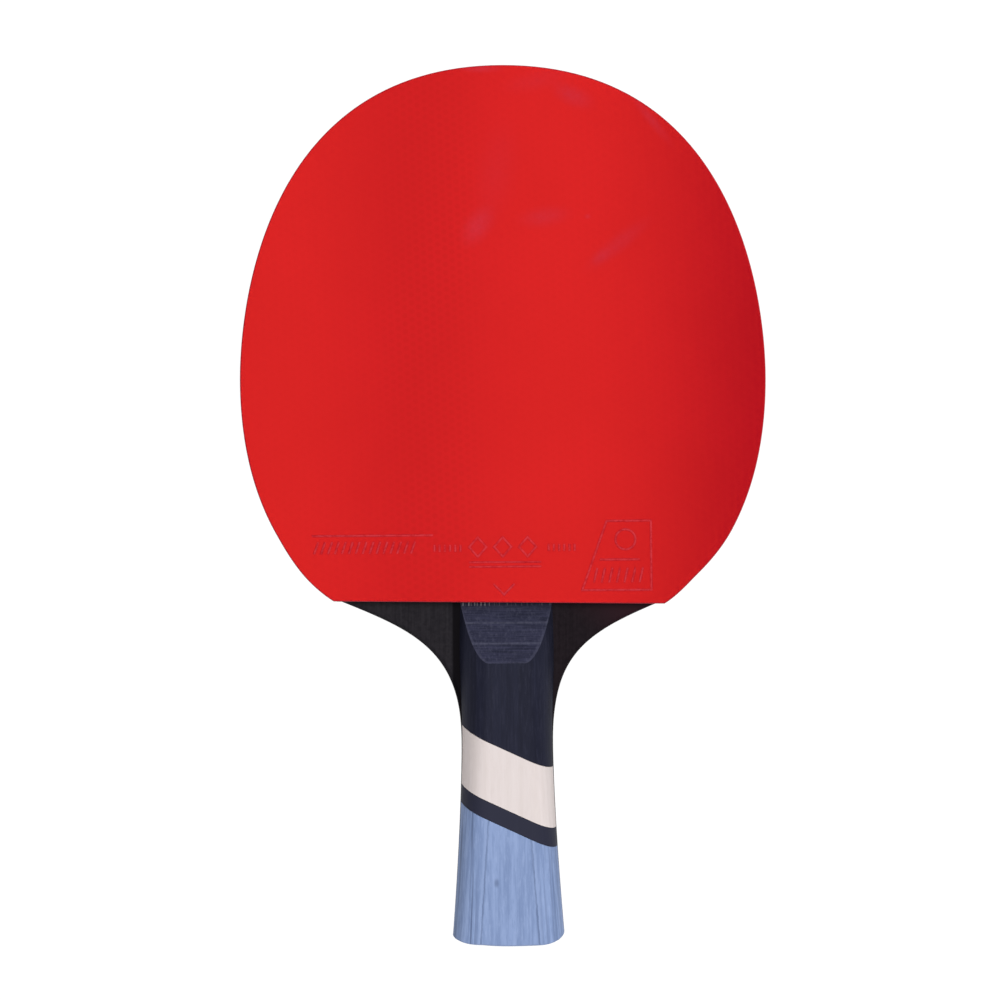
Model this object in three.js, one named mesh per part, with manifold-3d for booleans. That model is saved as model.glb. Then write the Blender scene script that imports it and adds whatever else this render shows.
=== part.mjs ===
// Table tennis paddle: a five-ply blade, an inverted rubber on each side, and a flared handle whose
// two halves are glued up from coloured laminations. Millimetres. The paddle lies flat: +Y points
// from the handle to the head, +Z is the side that carries the red rubber, and the origin is the
// centre of the bounding box, in the middle plane of the blade.

import * as THREE from 'three';
import { mergeVertices } from 'three/addons/utils/BufferGeometryUtils.js';
import Module from 'manifold-3d';

// ---- driving dimensions ------------------------------------------------------------------------

const LENGTH = 254.2;                  // top of the head to the butt
const HEAD_WIDTH = 152;
const HEAD_LENGTH = 155;               // top of the head to the straight lower edge of the rubbers
const HEAD_WIDEST = 90.8;              // from the top of the head down to its widest place
const TOP_FULLNESS = 67.3;             // curve handles of the head's outline
const SHOULDER_FULLNESS = 24.2;
const SIDE_FULLNESS = 46.2;
const RUBBER_CORNER = 48.1;            // half the length of the rubbers' straight lower edge
const CORNER_HANDLE = [3.65, 2.2];     // direction in which the outline runs into that corner

const PLY_STACK = [0.625, 0.875, 3, 0.875, 0.625];
const SPONGE_THICKNESS = 2;
const TOPSHEET_THICKNESS = 1.9;        // one millimetre of sheet on short pimples turned inwards

const BLADE_INSET = 1;                 // how far the wood stays inside the edge of the rubber
const WING_START = 46.8;               // half width of the blade where it leaves the rubber
const WING_HANDLE = [21.5, 8.8];
const WING_LENGTH = 40.7;              // from the rubber's edge to where wings and handle are one
const WING_RUN_OUT = 26;

const WAIST = 42;                      // from the rubber's edge to the thinnest place of the grip
const WAIST_HALF_WIDTH = 13.3;
const THROAT_SWELL = 1;                // the handle is this much wider under the ramp, each side
const THROAT_BLEND = 30;
const FLARE_HALF_WIDTH = 3.1;          // what the flare adds to the half width at the butt
const FLARE_HALF_THICKNESS = 1;
const FLARE_POWER = 1.53;
const HANDLE_HALF_THICKNESS = 11.5;
const FLANK_WIDTH = 7.6;               // from the edge of the flat top to the side, in plan
const FLANK_POWER_HEAD = 1.4;          // section of the flank: 1 is a straight chamfer, 2 an ellipse
const FLANK_POWER_BUTT = 2.8;          // and above 2 it is boxier

const BUTT_FLAT = 7.5;                 // half the flat across the butt
const BUTT_ROUND = 4.2;                // how far the rounded corners of the butt reach up the sides
const RAMP_START = 0.4;                // from the rubber's edge to the thin end of the ramp
const RAMP_END = 17.8;                 // and to where the ramp reaches the flat of the handle

const LAMINATION = 2.875;
const BAND_JOINTS = [43.1, 60.2, 65.5]; // from the rubber's edge, on the centre line of the flat
const BAND_SLOPE = -0.464;             // the joints run down towards +X
const BAND_LEAN = 0.14;                // and towards the head as they go down to the blade
const GLUE_LINE = 0.1;

const CURVE_SEGMENTS = 16;
const FLANK_SEGMENTS = 6;
const GRIP_STEPS = 14;

const headTop = LENGTH / 2;
const rubberEdge = headTop - HEAD_LENGTH;
const buttY = -LENGTH / 2;
const gripLength = rubberEdge - buttY;
const halfBlade = PLY_STACK.reduce((sum, thickness) => sum + thickness, 0) / 2;

const wasm = await Module();
wasm.setup();

// ---- solids ------------------------------------------------------------------------------------

function toSolid(geometry) {
  const bare = geometry.clone();
  bare.deleteAttribute('normal');
  bare.deleteAttribute('uv');
  const merged = mergeVertices(bare, 1e-5);
  const vertProperties = new Float32Array(merged.attributes.position.array);
  const triVerts = new Uint32Array(merged.index.array);
  return new wasm.Manifold(new wasm.Mesh({ numProp: 3, vertProperties, triVerts }));
}

function toGeometry(solid) {
  const mesh = solid.getMesh();
  const geometry = new THREE.BufferGeometry();
  geometry.setAttribute('position', new THREE.BufferAttribute(new Float32Array(mesh.vertProperties), 3));
  geometry.setIndex(new THREE.BufferAttribute(new Uint32Array(mesh.triVerts), 1));
  geometry.computeVertexNormals();
  return geometry;
}

// A plan outline given thickness between two heights.
function slab(outline, low, high) {
  const settings = { depth: high - low, bevelEnabled: false, curveSegments: CURVE_SEGMENTS };
  return new THREE.ExtrudeGeometry(outline, settings).translate(0, 0, low);
}

function polygon(points) {
  return new THREE.Shape(points.map(([x, y]) => new THREE.Vector2(x, y)));
}

// ---- the grip's shape, by distance s below the rubber's edge --------------------------------------

function flare(s) {
  return s > WAIST ? ((s - WAIST) / (gripLength - WAIST)) ** FLARE_POWER : 0;
}

function halfThickness(s) {
  return HANDLE_HALF_THICKNESS + FLARE_HALF_THICKNESS * flare(s);
}

function halfWidth(s) {
  const above = Math.min(1, Math.max(0, WAIST - s) / THROAT_BLEND);
  const swell = THROAT_SWELL * (1 - Math.cos(Math.PI * above)) / 2;
  return WAIST_HALF_WIDTH + swell + FLARE_HALF_WIDTH * flare(s);
}

function flankPower(s) {
  return THREE.MathUtils.lerp(FLANK_POWER_HEAD, FLANK_POWER_BUTT, s / gripLength);
}

// Half width of the grip at height z over the middle plane: a flat top with rounded flanks.
function halfWidthAt(s, z) {
  const power = flankPower(s);
  const rise = (Math.abs(z) / halfThickness(s)) ** power;
  return halfWidth(s) - FLANK_WIDTH * (1 - (1 - rise) ** (1 / power));
}

// ---- outlines in plan ----------------------------------------------------------------------------

// The head from the lower left corner over the top to the lower right corner.
function traceHead(shape, inset, cornerX) {
  const side = HEAD_WIDTH / 2 - inset;
  const top = headTop - inset;
  const widestY = headTop - HEAD_WIDEST;
  const shoulderY = widestY + SHOULDER_FULLNESS;
  const lowY = widestY - SIDE_FULLNESS;
  const turnX = cornerX + CORNER_HANDLE[0];
  const turnY = rubberEdge + CORNER_HANDLE[1];
  shape.moveTo(-cornerX, rubberEdge);
  shape.bezierCurveTo(-turnX, turnY, -side, lowY, -side, widestY);
  shape.bezierCurveTo(-side, shoulderY, -TOP_FULLNESS, top, 0, top);
  shape.bezierCurveTo(TOP_FULLNESS, top, side, shoulderY, side, widestY);
  shape.bezierCurveTo(side, lowY, turnX, turnY, cornerX, rubberEdge);
}

function rubberOutline() {
  const shape = new THREE.Shape();
  traceHead(shape, 0, RUBBER_CORNER);
  shape.closePath();
  return shape;
}

// Flat across the butt, with an elliptical corner at each side.
function traceButt(shape, cornerX) {
  const cornerY = buttY + BUTT_ROUND;
  const reach = cornerX - BUTT_FLAT;
  shape.absellipse(BUTT_FLAT, cornerY, reach, BUTT_ROUND, 0, -Math.PI / 2, true);
  shape.absellipse(-BUTT_FLAT, cornerY, reach, BUTT_ROUND, -Math.PI / 2, -Math.PI, true);
}

// One ply: the head, the two wings running out into the grip, and the tongue between the handle
// halves, as wide as the grip is at this ply's height.
function plyOutline(z) {
  const shape = new THREE.Shape();
  const meetX = halfWidthAt(WING_LENGTH, z);
  const meetY = rubberEdge - WING_LENGTH;
  const flankEnd = gripLength - BUTT_ROUND;
  const flank = [];
  for (let step = 1; step <= GRIP_STEPS; step += 1) {
    const s = THREE.MathUtils.lerp(WING_LENGTH, flankEnd, step / GRIP_STEPS);
    flank.push([halfWidthAt(s, z), rubberEdge - s]);
  }
  const wingX = WING_START - WING_HANDLE[0];
  const wingY = rubberEdge - WING_HANDLE[1];
  const runOutY = meetY + WING_RUN_OUT;
  traceHead(shape, BLADE_INSET, WING_START);
  shape.bezierCurveTo(wingX, wingY, meetX, runOutY, meetX, meetY);
  flank.forEach(([x, y]) => shape.lineTo(x, y));
  traceButt(shape, halfWidthAt(flankEnd, z));
  flank.reverse().forEach(([x, y]) => shape.lineTo(-x, y));
  shape.lineTo(-meetX, meetY);
  shape.bezierCurveTo(-meetX, runOutY, -wingX, wingY, -WING_START, rubberEdge);
  return shape;
}

// ---- the grip as one body, before it is cut into its pieces --------------------------------------

// Unit section with round flanks: x runs from -2 to 2, the flat top lies between -1 and 1, and z
// runs from -1 to 1.
function unitSection() {
  const quarter = [];
  for (let step = 0; step <= FLANK_SEGMENTS; step += 1) {
    const angle = (step / FLANK_SEGMENTS) * Math.PI / 2;
    quarter.push([1 + Math.cos(angle), Math.sin(angle)]);
  }
  const upperLeft = quarter.map(([x, z]) => [-x, z]).reverse();
  const lowerLeft = quarter.slice(1).map(([x, z]) => [-x, -z]);
  const lowerRight = quarter.slice(1).map(([x, z]) => [x, -z]).reverse();
  return polygon([...quarter, ...upperLeft, ...lowerLeft, ...lowerRight]);
}

// The unit section is drawn out along the grip and then shaped at each distance s.
function gripBody() {
  const settings = { depth: 1, steps: 2 * GRIP_STEPS, bevelEnabled: false };
  const geometry = new THREE.ExtrudeGeometry(unitSection(), settings);
  const position = geometry.attributes.position;
  for (let i = 0; i < position.count; i += 1) {
    const across = Math.abs(position.getX(i));
    const height = position.getY(i);
    const s = position.getZ(i) * gripLength;
    const exponent = 2 / flankPower(s);
    const onFlat = Math.min(1, across) * (halfWidth(s) - FLANK_WIDTH);
    const onFlank = Math.max(0, across - 1) ** exponent * FLANK_WIDTH;
    const x = Math.sign(position.getX(i)) * (onFlat + onFlank);
    const z = Math.sign(height) * Math.abs(height) ** exponent * halfThickness(s);
    position.setXYZ(i, x, rubberEdge - s, z);
  }
  return toSolid(geometry);
}

function buttCutter(reach) {
  const cornerX = halfWidth(gripLength - BUTT_ROUND);
  const shape = new THREE.Shape();
  shape.moveTo(-cornerX, rubberEdge);
  shape.lineTo(cornerX, rubberEdge);
  traceButt(shape, cornerX);
  return toSolid(slab(shape, -reach, reach));
}

// Everything under one of the two ramps at the head end of the handle.
function rampCutter(side, reach) {
  const slope = (HANDLE_HALF_THICKNESS - halfBlade) / (RAMP_END - RAMP_START);
  const thinEnd = rubberEdge - RAMP_START;
  const below = buttY - reach;
  const profile = polygon([
    [0, below],
    [0, thinEnd + halfBlade / slope],
    [side * reach, thinEnd - (reach - halfBlade) / slope],
    [side * reach, below],
  ]);
  const wedge = new THREE.ExtrudeGeometry(profile, { depth: 2 * reach, bevelEnabled: false });
  return toSolid(wedge.translate(0, 0, -reach).rotateY(-Math.PI / 2));
}

// ---- pieces --------------------------------------------------------------------------------------

const paddle = new THREE.Group();

function addPiece(name, geometry, color, roughness) {
  const material = new THREE.MeshStandardMaterial({ color, roughness, metalness: 0 });
  const mesh = new THREE.Mesh(geometry, material);
  mesh.name = name;
  paddle.add(mesh);
}

function addBlade() {
  const names = ['blade_back_face_ply', 'blade_back_inner_ply', 'blade_core_ply', 'blade_front_inner_ply',
    'blade_front_face_ply'];
  const colors = ['#d8b98c', '#c9a676', '#e3cfa6', '#c9a676', '#d8b98c'];
  let low = -halfBlade;
  names.forEach((name, i) => {
    const high = low + PLY_STACK[i];
    addPiece(name, slab(plyOutline((low + high) / 2), low, high), colors[i], 0.7);
    low = high;
  });
}

function addRubber(side, name, color) {
  const layers = [
    [`${name}_sponge`, halfBlade, SPONGE_THICKNESS, '#d9a441', 0.95],
    [`${name}_topsheet`, halfBlade + SPONGE_THICKNESS, TOPSHEET_THICKNESS, color, 0.5],
  ];
  for (const [layer, inner, thickness, layerColor, roughness] of layers) {
    const edges = [side * inner, side * (inner + thickness)];
    addPiece(layer, slab(rubberOutline(), Math.min(...edges), Math.max(...edges)), layerColor, roughness);
  }
}

// The part of the grip between two band joints and two heights. Heights count from the blade's
// middle plane, and side is 1 on the front and -1 on the back.
function bandCell(side, [from, to], [inner, outer], reach) {
  const top = rubberEdge - from - GLUE_LINE / 2;
  const bottom = rubberEdge - to + GLUE_LINE / 2;
  const drop = BAND_SLOPE * reach;
  const left = [[-reach, top - drop], [-reach, bottom - drop]];
  const right = [[reach, bottom + drop], [reach, top + drop]];
  const heights = [side * inner, side * outer];
  const cell = slab(polygon([...left, ...right]), Math.min(...heights), Math.max(...heights));
  const lean = new THREE.Matrix4().set(
    1, 0, 0, 0,
    0, 1, -side * BAND_LEAN, BAND_LEAN * HANDLE_HALF_THICKNESS,
    0, 0, 1, 0,
    0, 0, 0, 1,
  );
  return toSolid(cell.applyMatrix4(lean));
}

function addHandle() {
  const reach = 2 * HANDLE_HALF_THICKNESS;
  const grip = gripBody().intersect(buttCutter(reach));
  const bands = [
    ['navy_block', -reach, BAND_JOINTS[0], '#2c2d3a'],
    ['cream_band', BAND_JOINTS[0], BAND_JOINTS[1], '#e6dcd9'],
    ['navy_stripe', BAND_JOINTS[1], BAND_JOINTS[2], '#2a2b38'],
    ['blue_block', BAND_JOINTS[2], gripLength + reach, '#8b9cc5'],
  ];
  const layers = [
    ['lower', halfBlade, halfBlade + LAMINATION],
    ['middle', halfBlade + LAMINATION, halfBlade + 2 * LAMINATION],
    ['top', halfBlade + 2 * LAMINATION, reach],
  ];
  for (const [sideName, side] of [['front', 1], ['back', -1]]) {
    const half = grip.intersect(rampCutter(side, reach));
    for (const [bandName, from, to, color] of bands) {
      for (const [layerName, inner, outer] of layers) {
        const piece = half.intersect(bandCell(side, [from, to], [inner, outer], reach));
        addPiece(`handle_${sideName}_${bandName}_${layerName}`, toGeometry(piece), color, 0.55);
      }
    }
  }
}

addBlade();
addRubber(1, 'front', '#db2126');
addRubber(-1, 'back', '#1b1b1d');
addHandle();

export default paddle;
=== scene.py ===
"""Table tennis paddle: the fine surfaces and materials over the CAD frame. Metres, +Y towards the
head, +Z out of the red playing face, origin in the middle of the bounding box."""

import math

import bmesh
import bpy
import numpy as np
from mathutils import Matrix, Vector


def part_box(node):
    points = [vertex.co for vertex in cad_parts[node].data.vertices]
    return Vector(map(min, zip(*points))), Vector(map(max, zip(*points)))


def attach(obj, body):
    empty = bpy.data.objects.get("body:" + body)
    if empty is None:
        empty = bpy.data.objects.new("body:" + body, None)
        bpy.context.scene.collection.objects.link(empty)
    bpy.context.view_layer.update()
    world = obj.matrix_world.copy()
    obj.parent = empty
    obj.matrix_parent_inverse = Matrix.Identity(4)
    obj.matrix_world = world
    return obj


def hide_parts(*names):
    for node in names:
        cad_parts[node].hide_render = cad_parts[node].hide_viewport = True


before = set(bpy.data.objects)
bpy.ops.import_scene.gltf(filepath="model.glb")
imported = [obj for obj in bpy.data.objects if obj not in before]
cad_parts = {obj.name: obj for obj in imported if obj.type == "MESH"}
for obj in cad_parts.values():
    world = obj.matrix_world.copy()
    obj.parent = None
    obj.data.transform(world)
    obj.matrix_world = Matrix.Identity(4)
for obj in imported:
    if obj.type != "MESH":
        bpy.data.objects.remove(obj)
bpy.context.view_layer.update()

MM = 0.001

# ---- sizes read from the frame -------------------------------------------------------------------

SHEET_LOW, SHEET_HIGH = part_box("front_topsheet")
CORE_LOW, CORE_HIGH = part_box("blade_core_ply")
HEAD_HALF_WIDTH = SHEET_HIGH.x
HEAD_TOP = SHEET_HIGH.y
RUBBER_EDGE = SHEET_LOW.y
SPONGE_TOP = SHEET_LOW.z
RUBBER_TOP = SHEET_HIGH.z
HALF_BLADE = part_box("front_sponge")[0].z
BUTT = CORE_LOW.y
GRIP_LENGTH = RUBBER_EDGE - BUTT
BLADE_INSET = HEAD_HALF_WIDTH - CORE_HIGH.x
HALF_THICKNESS_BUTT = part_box("handle_front_blue_block_top")[1].z
HALF_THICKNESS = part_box("handle_front_navy_block_top")[1].z
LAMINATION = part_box("handle_front_navy_block_lower")[1].z - HALF_BLADE

# ---- shape of the head and the grip, as the CAD has it -------------------------------------------

HEAD_WIDEST = HEAD_TOP - 90.8 * MM
TOP_FULLNESS = 67.3 * MM
SHOULDER_FULLNESS = 24.2 * MM
SIDE_FULLNESS = 46.2 * MM
RUBBER_CORNER = 48.1 * MM
CORNER_HANDLE = Vector((3.65 * MM, 2.2 * MM))

WING_START = 46.8 * MM
WING_HANDLE = Vector((21.5 * MM, 8.8 * MM))
WING_LENGTH = 40.7 * MM
WING_RUN_OUT = 26 * MM

WAIST = 42 * MM
WAIST_HALF_WIDTH = 13.3 * MM
THROAT_SWELL = 1 * MM
THROAT_BLEND = 30 * MM
FLARE_HALF_WIDTH = 3.1 * MM
FLARE_POWER = 1.53
FLANK_WIDTH = 7.6 * MM
FLANK_POWER_HEAD = 1.4
FLANK_POWER_BUTT = 2.8
BUTT_FLAT = 7.5 * MM
BUTT_ROUND = 4.2 * MM
BUTT_SHARES = (0.75, 0.5, 0.25, 0)   # points of a ply's outline along the flat of the butt
RAMP_START = 0.4 * MM
RAMP_END = 17.8 * MM
BAND_JOINTS = (43.1 * MM, 60.2 * MM, 65.5 * MM)
BAND_SLOPE = -0.464
BAND_LEAN = 0.14
GLUE_LINE = 0.1 * MM

# ---- finer detail than the CAD holds -------------------------------------------------------------

CURVE_POINTS = 60                  # along each curve of an outline
CORNER_STEPS = 24                  # around each rounded corner of the butt
RUBBER_TURN = -0.005               # the front rubber is glued on slightly turned, in radians,
BACK_RUBBER_TURN = 0.003           # and so is the back one
RUBBER_SHIFT = -0.5 * MM           # both are glued on slightly to one side
EDGE_TILT = -0.0105                # their straight lower edge is not cut quite square
EDGE_DROP = 0.45 * MM              # nor quite as high as drawn,
EDGE_REACH = 8 * MM                # which dies out this far up the sheet
CORNER_TRIM = 0.4 * MM             # each end of that edge is cut this much short
CORNER_SHIFT = -1.35 * MM          # and both ends lie further over to that side,
CORNER_REACH = (20 * MM, -1 * MM)  # coming in between these heights over the edge
BLADE_SHIFT = -0.75 * MM           # the head of the blade stands over to that side too,
BLADE_REACH = -34 * MM             # coming in from this height
CUT_ROUND = 0.3 * MM               # rounding of the rubber's cut upper edge
CUT_STEPS = 5
FLAT_EDGE = 1.15 * CUT_ROUND       # insets of the first two rings on the flat of the sheet
FLAT_FIELD = 2 * CUT_ROUND
FIELD_SHARES = (1, 0.9, 0.7, 0.45, 0.2, 0.02)
SHEET_THICKNESS = 1.0 * MM         # the sheet itself; the rest of a topsheet is pimples
SPONGE_INSET = 0.1 * MM            # the sponge's cut edge lies back this far under the sheet
SPONGE_LAYERS = 3
PIMPLE_PITCH = 2.376 * MM
PIMPLE_RADIUS = 0.85 * MM
PIMPLE_PROFILE = (0.88, 0.92, 1.15)  # shares of it at the sponge, half way up and at the sheet
PIMPLE_CORNERS = 10
PIMPLE_TURN = math.radians(2)
PIMPLE_RIM = 4.5 * MM              # pimples are modelled this far in from the rubber's edge
LEAST_PIMPLE = 0.25 * MM           # and those whose middle is nearer the cut than this are gone
WING_ROUND = 1.3 * MM              # sanded edge of the blade's wings
WING_SANDING = (-8 * MM, -2 * MM)  # distances below the rubbers' edge between which it comes in
WING_UNSANDED = (37 * MM, 30 * MM)   # and between which it dies out
PLY_LAYERS = 5
THROAT_FLANK_WIDTH = 8.8 * MM      # beside the ramp the flanks are sanded wider than the CAD's
FLANK_POINTS = 14
FLAT_POINTS = 9
GRIP_SECTIONS = 110
BUTT_EDGE = 0.5 * MM               # rounding all round the end of the grip
BUTT_CROWN = (0.4 * MM, 0.15 * MM)   # the end is sanded slightly convex, more so on the left
CROWN_REACH = 5 * MM               # which dies out this far up the grip
BUTT_CORNERS = (1.6 * MM, 0.5 * MM)  # its corners are rounded less than the CAD's, left and right
SEAM_BEVEL = 0.07 * MM
SEAM_ANGLE = math.radians(40)      # edges sharper than this are bevelled
SMOOTH_ANGLE = math.radians(24)    # and those sharper than this are shaded as edges
RIDGE_WIDTH = 0.7 * MM             # moulded relief on the rubbers
RIDGE_HEIGHT = 0.06 * MM
RIDGE_MITRE = 0.35                 # least cosine that a corner of a ridge is drawn out by
RIDGE_PROFILE = (
    (-1, -0.3), (-0.75, 0.4), (-0.4, 0.87), (0, 1), (0.4, 0.87), (0.75, 0.4), (1, -0.3)
)


def smoothstep(low, high, value):
    t = min(1, max(0, (value - low) / (high - low)))
    return t * t * (3 - 2 * t)


def lerp(a, b, t):
    return a + (b - a) * t


def quarter_turn(steps):
    """Angles from 0 to 90 degrees in equal steps, with both ends."""
    return [math.radians(90) * i / steps for i in range(steps + 1)]


# ---- outlines in plan ----------------------------------------------------------------------------
# Half an outline runs from the top of the head down the +X side, and closed() adds the other half.


def bezier(a, b, c, d, count=CURVE_POINTS):
    """Points along a cubic curve, without its end."""
    points = []
    for i in range(count):
        t = i / count
        u = 1 - t
        points.append(u**3 * a + 3 * u * u * t * b + 3 * u * t * t * c + t**3 * d)
    return points


def half_head(inset, corner):
    side = HEAD_HALF_WIDTH - inset
    top = Vector((0, HEAD_TOP - inset))
    widest = Vector((side, HEAD_WIDEST))
    end = Vector((corner, RUBBER_EDGE))
    over_top = top + Vector((TOP_FULLNESS, 0))
    shoulder = widest + Vector((0, SHOULDER_FULLNESS))
    below = widest - Vector((0, SIDE_FULLNESS))
    upper = bezier(top, over_top, shoulder, widest)
    return upper + bezier(widest, below, end + CORNER_HANDLE, end) + [end]


def flare(s):
    return max(0, (s - WAIST) / (GRIP_LENGTH - WAIST)) ** FLARE_POWER


def half_thickness(s):
    return lerp(HALF_THICKNESS, HALF_THICKNESS_BUTT, flare(s))


def half_width(s):
    above = min(1, max(0, WAIST - s) / THROAT_BLEND)
    swell = THROAT_SWELL * (1 - math.cos(math.pi * above)) / 2
    return WAIST_HALF_WIDTH + swell + FLARE_HALF_WIDTH * flare(s)


def flank_power(s):
    return lerp(FLANK_POWER_HEAD, FLANK_POWER_BUTT, s / GRIP_LENGTH)


def flank_width(s):
    return lerp(THROAT_FLANK_WIDTH, FLANK_WIDTH, smoothstep(RAMP_END, WAIST, s))


def half_width_at(s, z):
    power = flank_power(s)
    rise = (abs(z) / half_thickness(s)) ** power
    return half_width(s) - flank_width(s) * (1 - (1 - rise) ** (1 / power))


def half_ply(z, spare):
    """One ply's half outline at height z: head, wing, the tongue inside the grip, and the butt."""
    meet = Vector((half_width_at(WING_LENGTH, z), RUBBER_EDGE - WING_LENGTH))
    start = Vector((WING_START, RUBBER_EDGE))
    points = half_head(BLADE_INSET, WING_START)[:-1]
    points += bezier(start, start - WING_HANDLE, meet + Vector((0, WING_RUN_OUT)), meet)
    flank_end = GRIP_LENGTH - BUTT_ROUND
    for i in range(CURVE_POINTS):
        s = lerp(WING_LENGTH, flank_end, i / CURVE_POINTS)
        points.append(Vector((half_width_at(s, z), RUBBER_EDGE - s)))
    reach = half_width_at(flank_end, z) - BUTT_FLAT + spare
    for turn in quarter_turn(CORNER_STEPS):
        s = GRIP_LENGTH - BUTT_ROUND * (1 - math.sin(turn))
        x = min(half_width_at(s, z), BUTT_FLAT + reach * math.cos(turn))
        points.append(Vector((x, RUBBER_EDGE - s)))
    for share in BUTT_SHARES:
        points.append(Vector((share * BUTT_FLAT, BUTT)))
    return points


def closed(left, right):
    """The whole outline of two halves, anticlockwise from the top of the head."""
    return [Vector((-p.x, p.y)) for p in left] + right[-2:0:-1]


def moved_in(outline, distances):
    """The outline moved inwards at each point, by one distance or by a list of them."""
    count = len(outline)
    if not isinstance(distances, list):
        distances = [distances] * count
    points = []
    for i, point in enumerate(outline):
        out = (outline[(i + 1) % count] - point).normalized()
        along = (out + (point - outline[i - 1]).normalized()).normalized()
        reach = distances[i] / along.dot(out)
        points.append(point + Vector((-along.y, along.x)) * reach)
    return points


def rubber_outline(turned):
    """The rubber as cut: shifted, drawn to one side at its lower end, and cut off out of square."""
    centre = Vector((0, HEAD_WIDEST))
    turn = Matrix.Rotation(turned, 2)
    points = []
    half = half_head(0, RUBBER_CORNER - CORNER_TRIM)
    for p in closed(half, half):
        low = smoothstep(*CORNER_REACH, p.y - RUBBER_EDGE)
        near_edge = smoothstep(EDGE_REACH, 0, p.y - RUBBER_EDGE)
        aside = RUBBER_SHIFT + CORNER_SHIFT * low
        along = (EDGE_TILT * p.x - EDGE_DROP) * near_edge
        points.append(centre + turn @ (p - centre) + Vector((aside, along)))
    return points


def blade_outline(z):
    """A ply as sawn: its head stands a little to one side of the grip."""
    points = []
    left, right = (half_ply(z, spare) for spare in BUTT_CORNERS)
    for p in closed(left, right):
        above_grip = smoothstep(BLADE_REACH, 0, p.y - RUBBER_EDGE)
        points.append(p + Vector((above_grip * BLADE_SHIFT, butt_crown(p.x, p.y))))
    return points


def butt_crown(x, y):
    """How far the convex end of the grip has fallen back at x, fading out up the grip."""
    rise = BUTT_CROWN[x > 0] * min(1, abs(x) / BUTT_FLAT) ** 2
    return rise * smoothstep(CROWN_REACH, 0, y - BUTT)


# ---- mesh building -------------------------------------------------------------------------------


def at_height(outline, z):
    return [(p.x, p.y, z) for p in outline]


def add_rings(verts, faces, rings):
    """A closed solid through rings of equally many points."""
    start = len(verts)
    count = len(rings[0])
    for ring in rings:
        verts.extend(ring)
    for r in range(len(rings) - 1):
        for i in range(count):
            a = start + r * count + i
            b = start + r * count + (i + 1) % count
            faces.append((a, b, b + count, a + count))
    last = start + (len(rings) - 1) * count
    faces.append(tuple(range(start + count - 1, start - 1, -1)))
    faces.append(tuple(range(last, last + count)))


def finish_piece(mesh_data, name, material, nodes, bevel=0):
    """Turns a bmesh into a piece that stands for those CAD nodes."""
    bmesh.ops.recalc_face_normals(mesh_data, faces=mesh_data.faces)
    for face in mesh_data.faces:
        face.smooth = True
    for edge in mesh_data.edges:
        edge.smooth = len(edge.link_faces) == 2 and edge.calc_face_angle() < SMOOTH_ANGLE
    mesh = bpy.data.meshes.new(name)
    mesh_data.to_mesh(mesh)
    mesh_data.free()
    piece = bpy.data.objects.new(name, mesh)
    bpy.context.scene.collection.objects.link(piece)
    piece.data.materials.append(material)
    if bevel:
        modifier = piece.modifiers.new("seam", "BEVEL")
        modifier.width = bevel
        modifier.segments = 2
        modifier.limit_method = "ANGLE"
        modifier.angle_limit = SEAM_ANGLE
        modifier.harden_normals = True
    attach(piece, "root")
    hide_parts(*nodes)
    return piece


def solid_piece(verts, faces, name, material, nodes):
    mesh = bpy.data.meshes.new("draft")
    mesh.from_pydata(verts, [], faces)
    mesh_data = bmesh.new()
    mesh_data.from_mesh(mesh)
    bpy.data.meshes.remove(mesh)
    return finish_piece(mesh_data, name, material, nodes)


# ---- materials -----------------------------------------------------------------------------------


def rgb(red, green, blue):
    return (red, green, blue, 1)


# Where the marks of this paddle lie, in millimetres. Four numbers are a band's start, full
# strength, fading and end; two are the places where a change is nothing and whole.
PIMPLE_SHADE_BAND = (-40.0, -26.0, -14.0, -4.0)   # across the sheet, where the pimples' painted shade is stronger
STAIN_EDGE = (4.6, 3.8)            # the plies are stained below this height over the rubbers' edge
BARE_BUTT = (5, 4)                 # and their ends are bare below this height over the butt
STAIN_THICKER = (0.0, 2.0)         # across: the stain is thicker on the right
REDDISH_DIAGONAL = (-16.0, 6.0)         # along a diagonal: the colour turns reddish brown towards the right and the head
GRIP_SHADOW_BAND = (-16.0, -15.3, -1.0, 0.0)     # across: a painted shadow beside the grip on the left
STRIPE_START = (-79.0, -81.0)      # along: navy wood below here is the stripe, dyed lighter
LOW_FLANK_SHADE = (7.5, 2.5)                 # heights on the flanks between which they darken towards the blade: painted shade
TORN_TIP = (0.6, 0.3)              # height over the blade of the ramp's torn tip
TORN_SIDE = (-2.0, -7.0)           # across: it is torn most on the left
RIBBED_FLANK = (8.0, 11.0)         # distance from the middle where the flanks' ribs begin
RIBS_BY_SIDE = (-1.0, 1.0)         # across: the ribs are weaker on the right
KNOT = (-3.4, -108.9, 1.0)         # place and size

# Near black on the rubber's upright cut sides: painted shade.
CUT_SIDE_SHADE = rgb(0.03, 0.004, 0.006)
FOAM_DARK, FOAM_LIGHT = rgb(0.72, 0.42, 0.11), rgb(0.82, 0.53, 0.17)
# Darker in the sponge's open cells: painted shade.
FOAM_HOLE_SHADE = rgb(0.33, 0.16, 0.03)
THIN_STAIN = (rgb(0.0120, 0.0106, 0.0134), rgb(0.0215, 0.0192, 0.0230))
THICK_STAIN = (rgb(0.0078, 0.0052, 0.0070), rgb(0.0135, 0.0094, 0.0120))
REDDISH_TINT = rgb(0.0225, 0.0082, 0.0120)
# Painted shadow beside the grip on the left.
GRIP_SHADOW = rgb(0.0028, 0.0021, 0.0032)
TORN_WOOD = rgb(0.42, 0.40, 0.42)
STRIPE_DYE = rgb(0.027, 0.028, 0.047)


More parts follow.
